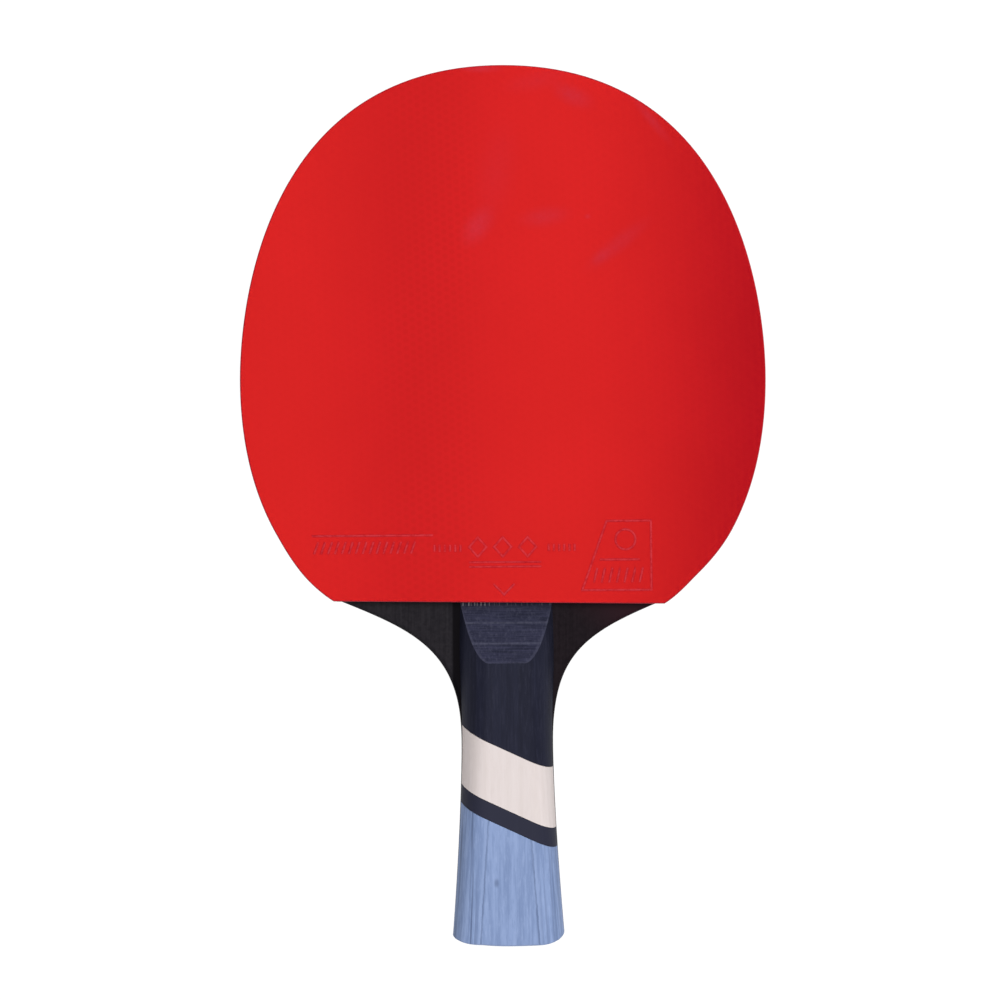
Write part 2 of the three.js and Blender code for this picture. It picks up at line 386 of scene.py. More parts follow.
class Shader:
    """A node material with short helpers. Positions are in millimetres in the CAD's frame."""

    def __init__(self, name, **values):
        self.material = bpy.data.materials.new(name)
        self.material.use_nodes = True
        self.tree = self.material.node_tree
        self.surface = self.tree.nodes["Principled BSDF"]
        for socket, value in values.items():
            self.surface.inputs[socket.replace("_", " ")].default_value = value
        self.here = self.vector("SCALE", self.coordinates("Object"), scale=1 / MM)
        self.x, self.y, self.z = self.split(self.here)

    def node(self, kind, inputs, output=0, **settings):
        made = self.tree.nodes.new("ShaderNode" + kind)
        for name, value in settings.items():
            setattr(made, name, value)
        for key, value in inputs.items():
            if value is not None:
                self.feed(made.inputs[key], value)
        return made.outputs[output]

    def feed(self, socket, value):
        if isinstance(value, bpy.types.NodeSocket):
            self.tree.links.new(value, socket)
        else:
            socket.default_value = value

    def coordinates(self, kind):
        return self.node("TexCoord", {}, kind)

    def split(self, vector):
        made = self.tree.nodes.new("ShaderNodeSeparateXYZ")
        self.feed(made.inputs[0], vector)
        return made.outputs

    def math(self, operation, a, b=None, c=None, clamp=False):
        return self.node("Math", {0: a, 1: b, 2: c}, operation=operation, use_clamp=clamp)

    def times(self, a, b):
        return self.math("MULTIPLY", a, b)

    def absolute(self, value):
        return self.math("ABSOLUTE", value)

    def vector(self, operation, a, b=None, scale=None, output=0):
        inputs = {0: a, 1: b, "Scale": scale}
        return self.node("VectorMath", inputs, output, operation=operation)

    def length(self, vector):
        return self.vector("LENGTH", vector, output="Value")

    def turned(self, vector, angle):
        inputs = {"Vector": vector, "Angle": angle}
        return self.node("VectorRotate", inputs, rotation_type="Z_AXIS")

    def noise(self, stretch, detail=3, roughness=0.55, offset=(0, 0, 0)):
        """Noise from about 0.2 to 0.8. stretch is its cycles per millimetre along X, Y and Z."""
        place = self.vector("MULTIPLY_ADD", self.here, stretch)
        self.feed(place.node.inputs[2], offset)
        settings = {"Vector": place, "Scale": 1.0, "Detail": detail, "Roughness": roughness}
        return self.node("TexNoise", settings, "Fac")

    def step(self, value, low, high, to_low=0.0, to_high=1.0):
        """Smooth step from to_low at low to to_high at high."""
        limits = {"From Min": low, "From Max": high, "To Min": to_low, "To Max": to_high}
        return self.node("MapRange", {"Value": value, **limits}, interpolation_type="SMOOTHSTEP")

    def band(self, value, start, full, fading, end):
        """1 from full to fading, falling smoothly to 0 at start and at end."""
        return self.times(self.step(value, start, full), self.step(value, end, fading))

    def mix(self, factor, under, over):
        return self.node("Mix", {0: factor, 6: under, 7: over}, 2, data_type="RGBA")

    def cover(self, under, over, where, strength):
        """The colour over laid on the colour under, as strongly as told where the mask is 1."""
        return self.mix(self.times(where, strength), under, over)

    def bump(self, height, depth, under=None):
        """depth in metres is how far a height of 1 stands out."""
        inputs = {"Strength": 1.0, "Distance": depth, "Height": height, "Normal": under}
        return self.node("Bump", inputs)

    def output(self, colour, roughness, normal):
        self.feed(self.surface.inputs["Base Color"], colour)
        self.feed(self.surface.inputs["Roughness"], roughness)
        self.feed(self.surface.inputs["Normal"], normal)
        return self.material


def pimple_field(shader):
    """Distance in millimetres from the nearest pimple of the hexagonal grid under the sheet."""
    pitch = PIMPLE_PITCH / MM
    cell = (pitch * math.sqrt(3), pitch)
    place = shader.vector("DIVIDE", shader.turned(shader.here, -PIMPLE_TURN), (*cell, 1))
    distances = []
    for shift in (0.5, 0.0):
        fraction = shader.vector("FRACTION", shader.vector("ADD", place, (shift, shift, 0)))
        from_middle = shader.vector("SUBTRACT", fraction, (0.5, 0.5, 0))
        distances.append(shader.length(shader.vector("MULTIPLY", from_middle, (*cell, 0))))
    return shader.math("MINIMUM", *distances)


def chalk_marks(shader, marks):
    """Pale rubbed patches, each with its place, angle, length, width and strength."""
    total = 0.0
    for x, y, angle, length, width, strength in marks:
        offset = shader.vector("SUBTRACT", shader.here, (x, y, 0))
        turned = shader.turned(offset, -math.radians(angle))
        radius = shader.length(shader.vector("MULTIPLY", turned, (2 / length, 2 / width, 0)))
        total = shader.math("ADD", total, shader.step(radius, 1.0, 0.0, 0.0, strength))
    return total


FRONT_MARKS = [
    (-7.4, 80.6, 55, 17, 10, 1.0),
    (11.9, 83.1, 8, 20, 8, 0.65),
    (20.4, 118.1, -25, 17, 8, 0.8),
    (10, 122.5, 12, 26, 8, 0.35),
    (33, 75, 38, 30, 7, 0.6),
    (28, 71.5, 40, 8, 5, 0.5),
    (24.4, 83.1, 0, 2.6, 2.2, 1.0),
    (43, 111, -52, 24, 4, 0.7),
    (-6, 126, 0, 16, 3, 1.0),
    (-2, 96, 80, 40, 16, 0.25),
]
BACK_MARKS = FRONT_MARKS[:3]


def rubber(name, colour, deep, chalk, highlight_and_wear, gloss_tint, marks):
    """A smooth sheet over pimples, rubbed in places and dull where it is cut. The pimples show as
    painted shade, the rounded cut edge and the ridges' tops carry painted highlights (the tops also
    wear), and the cut sides are painted shade.
    """
    shader = Shader(name, Specular_Tint=gloss_tint, IOR=1.5)
    cloud = shader.noise((0.03, 0.03, 0.03), detail=2)
    speckle = shader.noise((1.1, 1.1, 1.1), detail=4, roughness=0.7)
    coarse = shader.noise((0.25, 0.25, 0.25), detail=2)
    fine = shader.noise((6, 6, 6), detail=2)
    dimple = shader.step(pimple_field(shader), 0.4, 1.1)

    patches = shader.step(speckle, 0.25, 0.75, 0.5, 1.0)
    dull = shader.math("MULTIPLY", chalk_marks(shader, marks), patches, clamp=True)
    height = shader.absolute(shader.z)
    ridge_top = (RUBBER_TOP + 0.8 * RIDGE_HEIGHT) / MM
    raised = shader.step(height, RUBBER_TOP / MM + 0.003, ridge_top)
    upright = shader.absolute(shader.split(shader.coordinates("Normal"))[2])
    just_below = ((RUBBER_TOP - 0.01 * MM) / MM, (RUBBER_TOP - 0.03 * MM) / MM)
    rim = shader.times(shader.step(upright, 0.995, 0.93), shader.step(height, *just_below))

    base = shader.mix(shader.step(cloud, 0.3, 0.7, 0.0, 0.5), colour, deep)
    # Darker dots over the pimples, stronger in a band across the sheet: painted shade standing in
    # for how the pimples show in the sheet's reflections.
    shows = shader.math("MULTIPLY_ADD", shader.band(shader.x, *PIMPLE_SHADE_BAND), 0.45, 0.25)
    seen = shader.cover(base, deep, shader.step(dimple, 1.0, 0.0), shows)
    seen = shader.cover(seen, chalk, dull, 0.045)
    # Ridge tops lighter: wear, and a painted highlight.
    seen = shader.cover(seen, highlight_and_wear, raised, shader.step(speckle, 0.35, 0.6, 0.15, 0.65))
    # The rounded cut edge is painted lighter: a painted highlight.
    seen = shader.cover(seen, highlight_and_wear, rim, 0.7)
    # The cut sides, and the pimples between sheet and sponge, are painted near black: painted
    # shade.
    seen = shader.cover(seen, CUT_SIDE_SHADE, shader.step(upright, 0.6, 0.3), 0.9)

    relief = shader.bump(dimple, 0.0018 * MM)
    relief = shader.bump(coarse, 0.012 * MM, relief)
    relief = shader.bump(fine, 0.0012 * MM, relief)
    roughness = shader.math("MULTIPLY_ADD", speckle, 0.03, 0.15)
    roughness = shader.math("MULTIPLY_ADD", dull, 0.1, roughness)
    roughness = shader.math("MULTIPLY_ADD", rim, 0.4, roughness)
    roughness = shader.math("MULTIPLY_ADD", raised, 0.25, roughness)
    return shader.output(seen, roughness, relief)


def foam(name):
    """Fine open cells, as a cut edge of sponge shows, with painted shade in their hollows."""
    shader = Shader(name)
    cells = {"Vector": shader.here, "Scale": 3.2, "Randomness": 1.0}
    cell = shader.node("TexVoronoi", cells, "Distance")
    large = shader.node("TexVoronoi", {**cells, "Scale": 1.3}, "Distance")
    hole = shader.times(shader.step(cell, 0.5, 0.1), shader.step(large, 0.7, 0.3, 0.35, 1.0))
    patch = shader.step(shader.noise((0.08, 0.08, 0.08)), 0.3, 0.7)
    colour = shader.cover(shader.mix(patch, FOAM_DARK, FOAM_LIGHT), FOAM_HOLE_SHADE, hole, 0.7)
    return shader.output(colour, 0.9, shader.bump(hole, -0.12 * MM))


def stain_cover(shader):
    """1 where a ply is stained: below the head, but not on the end of the grip."""
    waver = shader.math("MULTIPLY_ADD", shader.noise((0.5, 0.5, 0.5)), 1.6, shader.y)
    below_head = shader.step(waver, *(RUBBER_EDGE / MM + height for height in STAIN_EDGE))
    facing_down = shader.step(shader.split(shader.coordinates("Normal"))[1], -0.65, -0.85)
    near_butt = shader.step(shader.y, *(BUTT / MM + height for height in BARE_BUTT))
    on_butt = shader.times(facing_down, near_butt)
    return shader.times(below_head, shader.math("SUBTRACT", 1.0, on_butt))


def stain_colour(shader, growth):
    """Black stain: thin and grey on the left and thicker on the right, turning reddish brown
    towards the right and the head, with a painted shadow beside the grip on the left.
    """
    blotch = shader.noise((0.7, 0.7, 0.7), detail=4, roughness=0.7, offset=(9, 4, 6))
    uneven = shader.math("ADD", shader.times(growth, 0.5), shader.times(blotch, 0.5))
    thin = shader.mix(shader.step(uneven, 0.35, 0.65), *THIN_STAIN)
    thick = shader.mix(shader.step(uneven, 0.35, 0.65), *THICK_STAIN)
    stain = shader.mix(shader.step(shader.x, *STAIN_THICKER), thin, thick)
    diagonal = shader.math("ADD", shader.x, shader.y)
    # Reddish brown towards the right and the head.
    stain = shader.mix(shader.step(diagonal, *REDDISH_DIAGONAL, 0.0, 0.9), stain, REDDISH_TINT)
    # Painted shadow beside the grip on the left.
    return shader.cover(stain, GRIP_SHADOW, shader.band(shader.x, *GRIP_SHADOW_BAND), 0.95)


def veneer(name, light, dark, along_y):
    """A ply's wood: bare between the rubbers and on the butt, stained at the throat and flanks,
    with a painted shadow beside the grip.
    """
    shader = Shader(name, Specular_IOR_Level=0.03)
    across, lengthwise = 1.6, 0.05
    stretch = (across, lengthwise, across) if along_y else (lengthwise, across, across)
    vessel = tuple(4 * value for value in stretch)
    growth = shader.noise(stretch, detail=5, roughness=0.6)
    pores = shader.noise(vessel, detail=2, roughness=0.5, offset=(7, 3, 1))
    wood = shader.mix(shader.step(growth, 0.3, 0.7), dark, light)
    wood = shader.mix(shader.step(pores, 0.62, 0.75, 0.0, 0.45), wood, dark)
    colour = shader.mix(stain_cover(shader), wood, stain_colour(shader, growth))
    relief = shader.bump(pores, -0.03 * MM)
    relief = shader.bump(growth, 0.02 * MM, relief)
    return shader.output(colour, shader.math("MULTIPLY_ADD", growth, 0.2, 0.5), relief)


def section_share(shader):
    """How near a place inside the grip is to its surface by the throat: 1 on the surface."""
    flank = flank_width(0)
    past_flat = shader.math("SUBTRACT", shader.absolute(shader.x), (half_width(0) - flank) / MM)
    aside = shader.math("DIVIDE", shader.math("MAXIMUM", past_flat, 0.0), flank / MM)
    rise = shader.math("DIVIDE", shader.absolute(shader.z), HALF_THICKNESS / MM)
    power = FLANK_POWER_HEAD
    aside, rise = shader.math("POWER", aside, power), shader.math("POWER", rise, power)
    return shader.math("ADD", aside, rise)


def cut_colour(shader, layers, colour, end_grain, worn_and_highlight):
    """Wood cut across its grain, with the glue lines, the ramp's rubbed edge (wear with a painted
    highlight) and its torn tip.
    """
    weave = shader.noise((1.5, 0.5, 1.2), detail=4, roughness=0.75, offset=(2, 2, 9))
    cut = shader.mix(shader.step(layers, 0.35, 0.7), end_grain, colour)
    cut = shader.mix(shader.step(weave, 0.5, 0.66, 0.0, 0.4), cut, worn_and_highlight)
    cut = shader.mix(shader.step(weave, 0.46, 0.32, 0.0, 0.6), cut, colour)
    height = shader.absolute(shader.z)
    patches = shader.noise((0.9, 0.4, 0.0), detail=3, roughness=0.7)
    patchy = shader.step(patches, 0.35, 0.6, 0.35, 1.0)
    for joint in (1, 2):
        joint_height = (HALF_BLADE + joint * LAMINATION) / MM
        from_joint = shader.absolute(shader.math("SUBTRACT", height, joint_height))
        cut = shader.cover(cut, worn_and_highlight, shader.step(from_joint, 0.2, 0.06, 0.0, 0.8), patchy)
    # The ramp's rubbed edge: wear, and a painted highlight where the edge catches the light.
    highlit_brink = shader.step(section_share(shader), 0.955, 0.99)
    cut = shader.cover(cut, worn_and_highlight, highlit_brink, shader.times(patchy, 0.38))
    chips = shader.step(shader.noise((1.7, 0, 0), detail=2, offset=(1, 0, 0)), 0.50, 0.66)
    at_tip = shader.step(height, *(HALF_BLADE / MM + rise for rise in TORN_TIP))
    torn = shader.times(chips, shader.step(shader.x, *TORN_SIDE, 0.25, 1.0))
    return shader.cover(cut, TORN_WOOD, at_tip, torn)


def panel_crease(shader):
    """Distance in millimetres outwards from the crease where the scraped flat meets the flanks."""
    wander = shader.noise((0.0, 0.3, 0.0), detail=4, roughness=0.7)
    along = shader.math("SUBTRACT", RUBBER_EDGE / MM, shader.y)
    straight = shader.math("MULTIPLY_ADD", along, 0.072, 1.25)
    edge = shader.math("MULTIPLY_ADD", wander, 0.7, straight)
    aside = shader.math("SUBTRACT", shader.x, 0.35)
    return shader.math("SUBTRACT", shader.absolute(aside), edge)


def flare_lines(shader):
    """Noise in long lines that spread with the flare of the grip."""
    past_waist = shader.math("SUBTRACT", (RUBBER_EDGE - WAIST) / MM, shader.y)
    reach = shader.math("MAXIMUM", past_waist, 0.0)
    share = shader.math("DIVIDE", reach, (GRIP_LENGTH - WAIST) / MM)
    widening = shader.math("POWER", share, FLARE_POWER)
    widening = shader.math("MULTIPLY_ADD", widening, FLARE_HALF_WIDTH / WAIST_HALF_WIDTH, 1.0)
    place = {"X": shader.math("DIVIDE", shader.x, widening), "Y": shader.times(shader.y, 0.01)}
    vector = shader.node("CombineXYZ", place)
    lines = {"Vector": vector, "Scale": 1.1, "Detail": 3.0, "Roughness": 0.6}
    return shader.node("TexNoise", lines, "Fac")


def knot(shader, x, y, size):
    offset = shader.vector("SUBTRACT", shader.here, (x, y, 0))
    scaled = shader.vector("MULTIPLY", offset, (1 / size, 0.55 / size, 0))
    return shader.step(shader.length(scaled), 1.0, 0.2)


def scraped_flat(shader, finished, relief, dark, light, grain, along_grip):
    """Adds the creases beside the scraped flat, as painted shade at their base with a painted
    highlight just outside, the ribs of the flanks and a knot.
    """
    deep_dye_and_shade = rgb(*(0.6 * value for value in dark[:3]))
    crease = panel_crease(shader)
    # Painted shade along the base of the crease, and a painted highlight just outside it.
    crease_shade = shader.band(crease, -0.75, -0.2, -0.1, 0.1)
    crease_shade = shader.times(crease_shade, shader.step(grain, 0.35, 0.6, 0.55, 1.0))
    crease_shade = shader.times(crease_shade, along_grip)
    highlit_brink = shader.times(shader.band(crease, 0.0, 0.2, 0.4, 1.1), along_grip)
    flank = shader.step(shader.absolute(shader.x), *RIBBED_FLANK)
    flank = shader.times(flank, shader.step(shader.x, *RIBS_BY_SIDE, 0.8, 0.35))
    flank = shader.times(flank, along_grip)
    ribs = flare_lines(shader)
    finished = shader.cover(finished, deep_dye_and_shade, flank, shader.step(ribs, 0.48, 0.6))
    finished = shader.cover(finished, light, flank, shader.step(ribs, 0.42, 0.3))
    # The crease's painted shade and painted highlight.
    finished = shader.cover(finished, deep_dye_and_shade, crease_shade, 0.6)
    finished = shader.cover(finished, light, highlit_brink, 0.45)
    finished = shader.cover(finished, deep_dye_and_shade, knot(shader, *KNOT), 0.6)
    fold = shader.times(shader.step(crease, -0.15, 0.15), along_grip)
    return finished, shader.bump(fold, 0.03 * MM, relief)


def dyed_wood(name, colour, dark, light, end_grain, worn_and_highlight, streaks, scraped=False, striped=False):
    """Dyed wood with its grain along the grip, and end grain where a cut crosses it."""
    shader = Shader(name, Specular_IOR_Level=0.05)
    band = shader.noise((0.42, 0.008, 0.9), detail=3, roughness=0.6)
    grain = shader.noise((1.5, 0.16, 1.5), detail=4, roughness=0.75, offset=(6, 2, 4))
    streak = shader.noise((1.9, 0.03, 2.6), detail=4, roughness=0.65, offset=(3, 1, 5))
    fibre = shader.noise((7, 0.25, 7), detail=3, roughness=0.6, offset=(1, 8, 2))
    layers = shader.noise((0.12, 0.9, 5.0), detail=3, roughness=0.7, offset=(4, 4, 4))
    tone = shader.mix(shader.step(band, 0.35, 0.65, 0.0, streaks), colour, dark)
    tone = shader.mix(shader.step(streak, 0.55, 0.75, 0.0, 0.8 * streaks), tone, dark)
    tone = shader.mix(shader.step(streak, 0.45, 0.28, 0.0, 0.6 * streaks), tone, light)
    tone = shader.mix(shader.step(fibre, 0.58, 0.72, 0.0, 0.45 * streaks), tone, dark)
    tone = shader.mix(shader.step(grain, 0.5, 0.68, 0.0, 0.7 * streaks), tone, dark)
    tone = shader.mix(shader.step(grain, 0.5, 0.34, 0.0, 0.8 * streaks), tone, light)
    normal_y = shader.split(shader.coordinates("Normal"))[1]
    across_grain = shader.step(shader.absolute(normal_y), 0.25, 0.4)
    cut = cut_colour(shader, layers, colour, end_grain, worn_and_highlight)
    finished = shader.mix(across_grain, tone, cut)
    if striped:
        on_stripe = shader.step(shader.y, *STRIPE_START, 0.0, 0.85)
        finished = shader.mix(on_stripe, finished, STRIPE_DYE)
    # Darker low on the flanks, towards the blade: painted shade.
    low_flank_shade = shader.step(shader.absolute(shader.z), *LOW_FLANK_SHADE, 0.0, 0.25)
    finished = shader.mix(low_flank_shade, finished, dark)
    relief = shader.bump(fibre, -0.025 * MM)
    relief = shader.bump(streak, -0.02 * MM, relief)
    if scraped:
        along_grip = shader.math("SUBTRACT", 1.0, across_grain)
        settings = (dark, light, grain, along_grip)
        finished, relief = scraped_flat(shader, finished, relief, *settings)
    rough_cut = shader.times(shader.math("ADD", layers, fibre), across_grain)
    relief = shader.bump(rough_cut, 0.05 * MM, relief)
    roughness = shader.math("MULTIPLY_ADD", fibre, 0.15, 0.5)
    roughness = shader.math("MULTIPLY_ADD", across_grain, 0.15, roughness)
    return shader.output(finished, roughness, relief)


def make_rubber_materials():
    return {
        "red_rubber": rubber(
            "red_rubber",
            colour=rgb(0.315, 0.0022, 0.0098),
            deep=rgb(0.275, 0.0016, 0.0080),
            chalk=rgb(0.45, 0.28, 0.55),
            highlight_and_wear=rgb(0.50, 0.050, 0.070),
            gloss_tint=rgb(1.0, 0.046, 0.022),
            marks=FRONT_MARKS,
        ),
        "black_rubber": rubber(
            "black_rubber",
            colour=rgb(0.018, 0.018, 0.019),
            deep=rgb(0.012, 0.012, 0.013),
            chalk=rgb(0.20, 0.20, 0.20),
            highlight_and_wear=rgb(0.05, 0.05, 0.052),
            gloss_tint=rgb(1.0, 1.0, 1.0),
            marks=BACK_MARKS,
        ),
        "sponge": foam("sponge"),
    }


def make_blade_materials():
    plies = (
        ("face_veneer", rgb(0.66, 0.48, 0.27), rgb(0.46, 0.30, 0.15), True),
        ("inner_veneer", rgb(0.52, 0.36, 0.20), rgb(0.36, 0.22, 0.11), False),
        ("core_wood", rgb(0.80, 0.67, 0.44), rgb(0.62, 0.46, 0.26), True),
    )
    return {name: veneer(name, light, dark, along_y) for name, light, dark, along_y in plies}


def make_handle_materials():
    return {
        "navy_wood": dyed_wood(
            "navy_wood",
            colour=rgb(0.0160, 0.0172, 0.0330),
            dark=rgb(0.0112, 0.0118, 0.0220),
            light=rgb(0.0250, 0.0258, 0.0450),
            end_grain=rgb(0.0340, 0.0350, 0.0660),
            worn_and_highlight=rgb(0.066, 0.068, 0.104),
            streaks=0.7,
            striped=True,
        ),
        "cream_wood": dyed_wood(
            "cream_wood",
            colour=rgb(0.680, 0.610, 0.600),
            dark=rgb(0.55, 0.48, 0.45),
            light=rgb(0.73, 0.665, 0.65),
            end_grain=rgb(0.56, 0.48, 0.43),
            worn_and_highlight=rgb(0.62, 0.56, 0.52),
            streaks=0.22,
        ),
        "blue_wood": dyed_wood(
            "blue_wood",
            colour=rgb(0.250, 0.332, 0.550),
            dark=rgb(0.160, 0.225, 0.400),
            light=rgb(0.300, 0.385, 0.610),
            end_grain=rgb(0.190, 0.255, 0.430),
            worn_and_highlight=rgb(0.300, 0.370, 0.560),
            streaks=0.65,
            scraped=True,
        ),
    }


# ---- blade ---------------------------------------------------------------------------------------


def sanding(point, z):
    """How far the sanded edge of the wings lies inside the outline at height z."""
    depth = abs(z) - (HALF_BLADE - WING_ROUND)
    if depth <= 0:
        return 0
    s = RUBBER_EDGE - point.y
    share = smoothstep(*WING_SANDING, s) * smoothstep(*WING_UNSANDED, s)
    return share * (WING_ROUND - math.sqrt(max(0, WING_ROUND**2 - depth**2)))


def make_blade(materials):
    plies = [
        ("blade_back_face_ply", "face_veneer"),
        ("blade_back_inner_ply", "inner_veneer"),
        ("blade_core_ply", "core_wood"),
        ("blade_front_inner_ply", "inner_veneer"),
        ("blade_front_face_ply", "face_veneer"),
    ]
    for name, slot in plies:
        low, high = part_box(name)
        rings = []
        for i in range(PLY_LAYERS + 1):
            z = lerp(low.z, high.z, i / PLY_LAYERS)
            outline = blade_outline(z)
            inside = moved_in(outline, [sanding(p, z) for p in outline])
            rings.append(at_height(inside, z))
        verts, faces = [], []
        add_rings(verts, faces, rings)
        solid_piece(verts, faces, name + "_fine", materials[slot], [name])


# ---- rubbers -------------------------------------------------------------------------------------


def nearest_on(outline, points):
    """For each point, the nearest place on the outline, and whether the point is inside it."""
    start = np.array(outline)
    end = np.roll(start, -1, axis=0)
    along = end - start
    offset = points[:, None] - start[None]
    share = (offset * along).sum(2) / (along * along).sum(1)
    place = start[None] + np.clip(share, 0, 1)[..., None] * along
    distance = np.linalg.norm(points[:, None] - place, axis=2)
    best = distance.argmin(1)
    rows = np.arange(len(points))
    px, py = points[:, :1], points[:, 1:]
    crosses = (start[:, 1] > py) != (end[:, 1] > py)
    rise = np.where(along[:, 1] == 0, 1, along[:, 1])
    at = start[:, 0] + (py - start[:, 1]) * along[:, 0] / rise
    inside = (crosses & (px < at)).sum(1) % 2 == 1
    return place[rows, best], distance[rows, best], inside


def pimple_places():
    """The hexagonal grid over the whole head, in columns along the paddle and turned a little."""
    column = PIMPLE_PITCH * math.sqrt(3) / 2
    reach = int(HEAD_TOP / column) + 8
    turn = Matrix.Rotation(PIMPLE_TURN, 2)
    places = []
    for i in range(-reach, reach):
        for j in range(-reach, reach):
            places.append(turn @ Vector((i * column, (j + 0.5 * (i % 2)) * PIMPLE_PITCH)))
    return np.array(places)


def add_pimples(verts, faces, outline, side):
    """Pimples between sheet and sponge near the rubber's edge, cut off where the edge was cut."""
    places = pimple_places()
    _, distance, inside = nearest_on(outline, places)
    near = places[inside & (distance < PIMPLE_RIM) & (distance > LEAST_PIMPLE)]
    turns = np.arange(PIMPLE_CORNERS) * 2 * math.pi / PIMPLE_CORNERS
    circle = np.stack([np.cos(turns), np.sin(turns)], axis=1)
    low, high = SPONGE_TOP, RUBBER_TOP - SHEET_THICKNESS
    heights = (low, (low + high) / 2, high)
    for centre in near:
        rings = []
        for radius, z in zip(PIMPLE_PROFILE, heights):
            ring = centre + circle * radius * PIMPLE_RADIUS
            edge, _, within = nearest_on(outline, ring)
            ring = np.where(within[:, None], ring, edge)
            rings.append([(x, y, side * z) for x, y in ring])
        add_rings(verts, faces, rings)


def sheet_rings(outline, side):
    """The sheet from its underside up over the rounded cut and in to its middle."""
    rings = [at_height(outline, side * (RUBBER_TOP - SHEET_THICKNESS))]
    for turn in quarter_turn(CUT_STEPS):
        inset = CUT_ROUND * (1 - math.cos(turn))
        z = RUBBER_TOP - CUT_ROUND * (1 - math.sin(turn))
        rings.append(at_height(moved_in(outline, inset), side * z))
    rings.append(at_height(moved_in(outline, FLAT_EDGE), side * RUBBER_TOP))
    field = moved_in(outline, FLAT_FIELD)
    centre = Vector((0, HEAD_WIDEST))
    for share in FIELD_SHARES:
        rings.append(at_height([centre + (p - centre) * share for p in field], side * RUBBER_TOP))
    return rings


def add_ridge(verts, faces, points, side, is_closed=False, width=RIDGE_WIDTH):
    """A moulded line on the sheet, in millimetres from the middle of the sheet's lower edge."""
    path = [Vector((side * x * MM, RUBBER_EDGE + y * MM)) for x, y in points]
    count = len(path)
    rings = []
    for i, point in enumerate(path):
        ahead = path[(i + 1) % count] if is_closed else path[min(i + 1, count - 1)]
        behind = path[i - 1] if is_closed else path[max(i - 1, 0)]
        into = (point - behind).normalized()
        out = (ahead - point).normalized()
        along = (into + out).normalized()
        stretch = 1 / max(RIDGE_MITRE, along.dot(out) if out.length else along.dot(into))
        across = Vector((-along.y, along.x)) * width / 2 * stretch
        ring = []
        for share, z in RIDGE_PROFILE:
            place = point + across * share
            ring.append((place.x, place.y, side * (RUBBER_TOP + z * RIDGE_HEIGHT)))
        rings.append(ring)
    if not is_closed:
        add_rings(verts, faces, rings)
        return
    start = len(verts)
    points_around = len(rings[0])
    for ring in rings:
        verts.extend(ring)
    for r in range(count):
        for i in range(points_around):
            j = (i + 1) % points_around
            a, b = start + r * points_around, start + (r + 1) % count * points_around
            faces.append((a + i, a + j, b + j, b + i))


def add_relief(verts, faces, side):
    """The moulded strip along the lower edge: plain rules, ribs, lozenges and a ribbed panel."""

    def line(*points, **settings):
        add_ridge(verts, faces, points, side, **settings)

    line((-56, 19.2), (-21, 19.2))
    for i in range(15):
        x = -55.4 + 2 * i
        line((x, 14), (x + 1.2, 17.4))
    for start in (-20.6, 12.4):
        for i in range(6):
            line((start + 1.5 * i, 14.4), (start + 1.5 * i, 16.4))
    for x in (-8.1, -0.9, 6.3):
        line((x, 18.5), (x - 2.5, 15.7), (x, 12.9), (x + 2.5, 15.7), is_closed=True)
    for y in (11.3, 10):
        line((-10.6, y), (10.2, y), width=0.8 * RIDGE_WIDTH)
    line((-3.6, 5), (-0.6, 1.9), (2.4, 5))
    line((22, 3), (42, 3), (42, 23), (29.2, 23), is_closed=True)
    line((27.2, 11.8), (38.6, 11.8))
    for i in range(7):
        line((25.4 + 2.2 * i, 5.2), (26.4 + 2.2 * i, 9.4))
    ring = []
    for i in range(24):
        turn = 2 * math.pi * i / 24
        ring.append((34.6 + 2.9 * math.cos(turn), 17.6 + 2.9 * math.sin(turn)))
    line(*ring, is_closed=True)


def make_rubbers(materials):
    rubbers = (
        (1, "front", "red_rubber", RUBBER_TURN),
        (-1, "back", "black_rubber", BACK_RUBBER_TURN),
    )
    for side, name, slot, turned in rubbers:
        outline = rubber_outline(turned)
        sheet, node = materials[slot], f"{name}_topsheet"
        verts, faces = [], []
        add_rings(verts, faces, sheet_rings(outline, side))
        centre = Vector((0, HEAD_WIDEST))
        inner = [centre + (p - centre) * (1 - PIMPLE_RIM / HEAD_HALF_WIDTH) for p in outline]
        heights = (SPONGE_TOP, RUBBER_TOP - SHEET_THICKNESS)
        add_rings(verts, faces, [at_height(inner, side * z) for z in heights])
        add_pimples(verts, faces, outline, side)
        add_relief(verts, faces, side)
        solid_piece(verts, faces, node + "_fine", sheet, [node])
        sponge, node = materials["sponge"], f"{name}_sponge"
        verts, faces = [], []
        foam_edge = moved_in(outline, SPONGE_INSET)
        shares = [i / SPONGE_LAYERS for i in range(SPONGE_LAYERS + 1)]
        heights = [lerp(HALF_BLADE, SPONGE_TOP, share) for share in shares]
        add_rings(verts, faces, [at_height(foam_edge, side * z) for z in heights])
        solid_piece(verts, faces, node + "_fine", sponge, [node])


# ---- handle --------------------------------------------------------------------------------------


def butt_limit(s, spare):
    """The rounded plan corner of the butt as the widest x at distance s."""
    into = s - (GRIP_LENGTH - BUTT_ROUND)
    if into <= 0:
        return 1.0
    reach = half_width(GRIP_LENGTH - BUTT_ROUND) - BUTT_FLAT + spare
    return BUTT_FLAT + reach * math.sqrt(max(0, 1 - (into / BUTT_ROUND) ** 2))


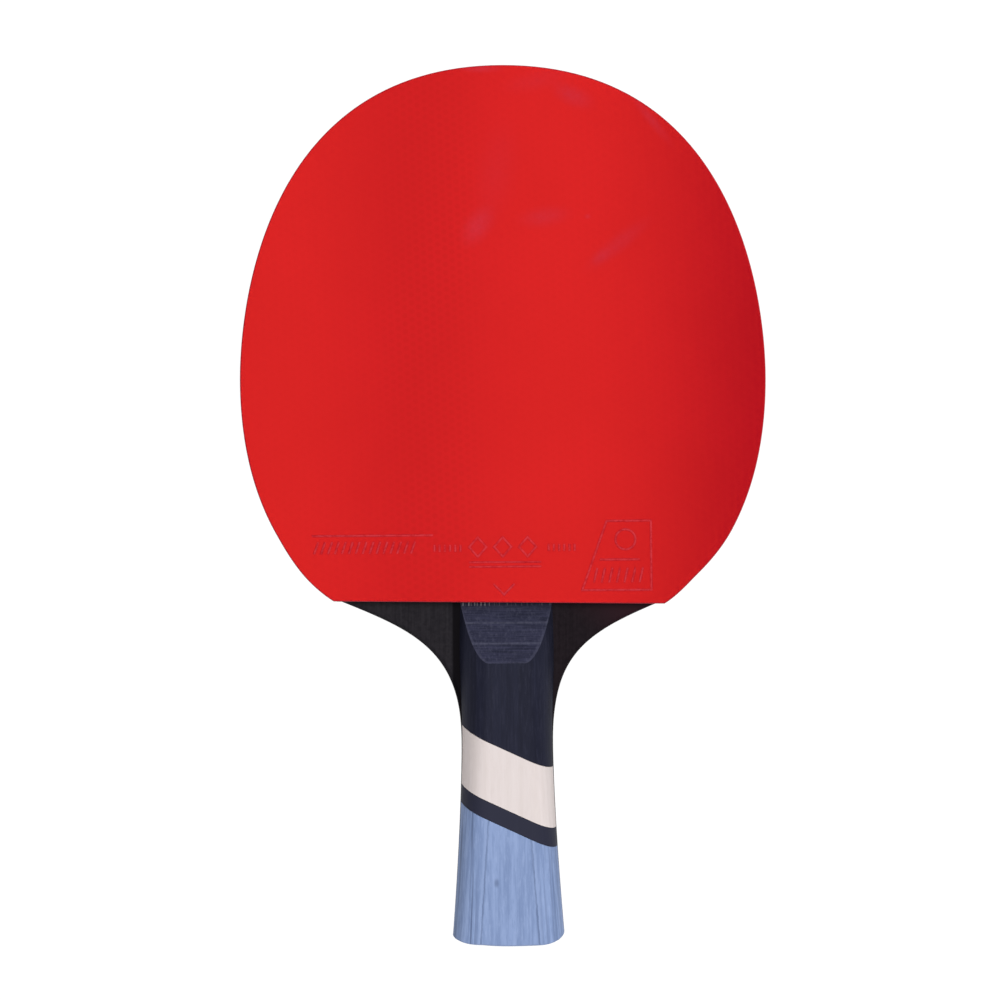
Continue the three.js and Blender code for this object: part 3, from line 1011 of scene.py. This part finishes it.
def quarter_section(s, spare):
    """A quarter of the section at distance s, from the side up over the flank and onto the flat."""
    left = max(0, s - (GRIP_LENGTH - BUTT_EDGE))
    shrink = BUTT_EDGE - math.sqrt(max(0, BUTT_EDGE**2 - left**2))
    limit = butt_limit(s, spare) - shrink
    width, height = half_width(s) - shrink, half_thickness(s) - shrink
    flank = flank_width(s)
    flat = width - flank
    exponent = 2 / flank_power(s)
    points = []
    for turn in quarter_turn(FLANK_POINTS - 1):
        x = flat + flank * max(0, math.cos(turn)) ** exponent
        points.append((min(x, limit), height * math.sin(turn) ** exponent))
    for i in range(FLAT_POINTS):
        x = flat * (1 - (i + 1) / (FLAT_POINTS + 1))
        points.append((min(x, limit), height))
    return points


def grip_section(s):
    left, right = (quarter_section(s, spare) for spare in BUTT_CORNERS)
    y = RUBBER_EDGE - s
    upper = right + [(0, right[-1][1])] + [(-x, z) for x, z in reversed(left)]
    lower = [(x, -z) for x, z in reversed(upper[1:-1])]
    return [(x, y + butt_crown(x, y), z) for x, z in upper + lower]


def grip_mesh():
    """The whole grip as one closed body, before it is sawn into its laminations."""
    straight = GRIP_LENGTH - BUTT_ROUND
    distances = [lerp(0, straight, i / GRIP_SECTIONS) for i in range(GRIP_SECTIONS)]
    for turn in quarter_turn(CORNER_STEPS):
        distances.append(GRIP_LENGTH - BUTT_ROUND * (1 - math.sin(turn)))
    verts, faces = [], []
    add_rings(verts, faces, [grip_section(s) for s in distances])
    mesh = bpy.data.meshes.new("grip")
    mesh.from_pydata(verts, [], faces)
    return mesh


LAYER_NAMES = ("lower", "middle", "top")
SAW_TOLERANCE = 1e-8


def saw(mesh_data, place, towards_waste):
    """Cuts along a plane, takes the waste away and closes the cut."""
    everything = mesh_data.verts[:] + mesh_data.edges[:] + mesh_data.faces[:]
    bmesh.ops.bisect_plane(
        mesh_data,
        geom=everything,
        dist=SAW_TOLERANCE,
        plane_co=place,
        plane_no=towards_waste,
        clear_outer=True,
    )
    rim = [edge for edge in mesh_data.edges if edge.is_boundary]
    if rim:
        bmesh.ops.holes_fill(mesh_data, edges=rim, sides=0)


def saw_lamination(mesh_data, side, layer):
    """Leaves one lamination's thickness of the grip."""
    inner = side * (HALF_BLADE + layer * LAMINATION)
    saw(mesh_data, (0, 0, inner), (0, 0, -side))
    if layer < len(LAYER_NAMES) - 1:
        saw(mesh_data, (0, 0, inner + side * LAMINATION), (0, 0, side))


def saw_band(mesh_data, side, start, end):
    """Leaves what lies between two slanted joints, or past the ramp if there is no first joint."""
    joint_normal = Vector((-BAND_SLOPE, 1, side * BAND_LEAN))
    surface = side * HALF_THICKNESS
    if start is None:
        ramp_slope = (HALF_THICKNESS - HALF_BLADE) / (RAMP_END - RAMP_START)
        saw(mesh_data, (0, RUBBER_EDGE - RAMP_START, side * HALF_BLADE), (0, ramp_slope, side))
    else:
        saw(mesh_data, (0, RUBBER_EDGE - start - GLUE_LINE / 2, surface), joint_normal)
    if end is not None:
        saw(mesh_data, (0, RUBBER_EDGE - end + GLUE_LINE / 2, surface), -joint_normal)


def make_handle(materials):
    grip = grip_mesh()
    first, second, third = BAND_JOINTS
    bands = [
        ("navy_block", None, first, "navy_wood"),
        ("cream_band", first, second, "cream_wood"),
        ("navy_stripe", second, third, "navy_wood"),
        ("blue_block", third, None, "blue_wood"),
    ]
    for side, side_name in ((1, "front"), (-1, "back")):
        for band, start, end, slot in bands:
            for layer, layer_name in enumerate(LAYER_NAMES):
                mesh_data = bmesh.new()
                mesh_data.from_mesh(grip)
                saw_lamination(mesh_data, side, layer)
                saw_band(mesh_data, side, start, end)
                node = f"handle_{side_name}_{band}_{layer_name}"
                finish_piece(mesh_data, node + "_fine", materials[slot], [node], SEAM_BEVEL)
    bpy.data.meshes.remove(grip)


# ---- stage, lights and camera --------------------------------------------------------------------

CAMERA_HEIGHT = 1.2
CAMERA_PLACE = (-1.58 * MM, 1.35 * MM)
CAMERA_ROLL = -0.0078
FRAME_HEIGHT = 289 * MM            # what the picture shows, top to bottom, at the red face
SENSOR = 36
NEAREST_SEEN = 0.01

FLOOR_REACH = 3.0
FLOOR_GAP = 0.2 * MM               # the floor lies just clear of the paddle
WHITE = rgb(1, 1, 1)
FLOOR_GREY = rgb(0.05, 0.05, 0.05)
WORLD_STRENGTH = 0.15

# Each soft box: its place, the point it faces, its size in metres and its radiance.
SOFT_BOXES = {
    "overhead_left": ((-0.144, 0.1, 1.3), (-0.144, 0.1, 0), (0.13, 1.1), 11.9),
    "overhead_right": ((0.041, 0.1, 1.3), (0.041, 0.1, 0), (0.148, 1.1), 11.0),
    "key": ((0.63, 0.31, 1.2), (0, 0, 0), (0.8, 0.8), 5.6),
}


def make_floor():
    z = -HALF_THICKNESS_BUTT - FLOOR_GAP
    signs = ((-1, -1), (1, -1), (1, 1), (-1, 1))
    corners = [(x * FLOOR_REACH, y * FLOOR_REACH, z) for x, y in signs]
    mesh = bpy.data.meshes.new("floor")
    mesh.from_pydata(corners, [], [(0, 1, 2, 3)])
    floor = bpy.data.objects.new("floor", mesh)
    bpy.context.scene.collection.objects.link(floor)
    shader = Shader("lit_table", Roughness=0.9, Emission_Strength=1.0)
    shader.surface.inputs["Emission Color"].default_value = WHITE
    shader.surface.inputs["Base Color"].default_value = FLOOR_GREY
    mesh.materials.append(shader.material)


def make_light(name, place, target, size, radiance):
    lamp = bpy.data.lights.new(name, "AREA")
    lamp.shape = "RECTANGLE"
    lamp.size, lamp.size_y = size
    lamp.energy = radiance * math.pi * size[0] * size[1]
    light = bpy.data.objects.new(name, lamp)
    light.location = place
    light.rotation_euler = (Vector(place) - Vector(target)).to_track_quat("Z", "Y").to_euler()
    bpy.context.scene.collection.objects.link(light)


def make_lights():
    for name, settings in SOFT_BOXES.items():
        make_light(name, *settings)
    world = bpy.data.worlds.new("studio")
    world.use_nodes = True
    background = world.node_tree.nodes["Background"]
    background.inputs["Color"].default_value = WHITE
    background.inputs["Strength"].default_value = WORLD_STRENGTH
    bpy.context.scene.world = world


def make_camera():
    camera = bpy.data.cameras.new("camera")
    camera.sensor_width = SENSOR
    camera.lens = camera.sensor_width * (CAMERA_HEIGHT - RUBBER_TOP) / FRAME_HEIGHT
    camera.clip_start = NEAREST_SEEN
    seen_from = bpy.data.objects.new("camera", camera)
    seen_from.location = (*CAMERA_PLACE, CAMERA_HEIGHT)
    seen_from.rotation_euler = (0, 0, CAMERA_ROLL)
    bpy.context.scene.collection.objects.link(seen_from)
    bpy.context.scene.camera = seen_from


def main():
    materials = {**make_rubber_materials(), **make_blade_materials(), **make_handle_materials()}
    make_blade(materials)
    make_rubbers(materials)
    make_handle(materials)
    make_floor()
    make_lights()
    make_camera()
    bpy.context.scene.view_settings.view_transform = "Standard"
    bpy.context.view_layer.update()


main()
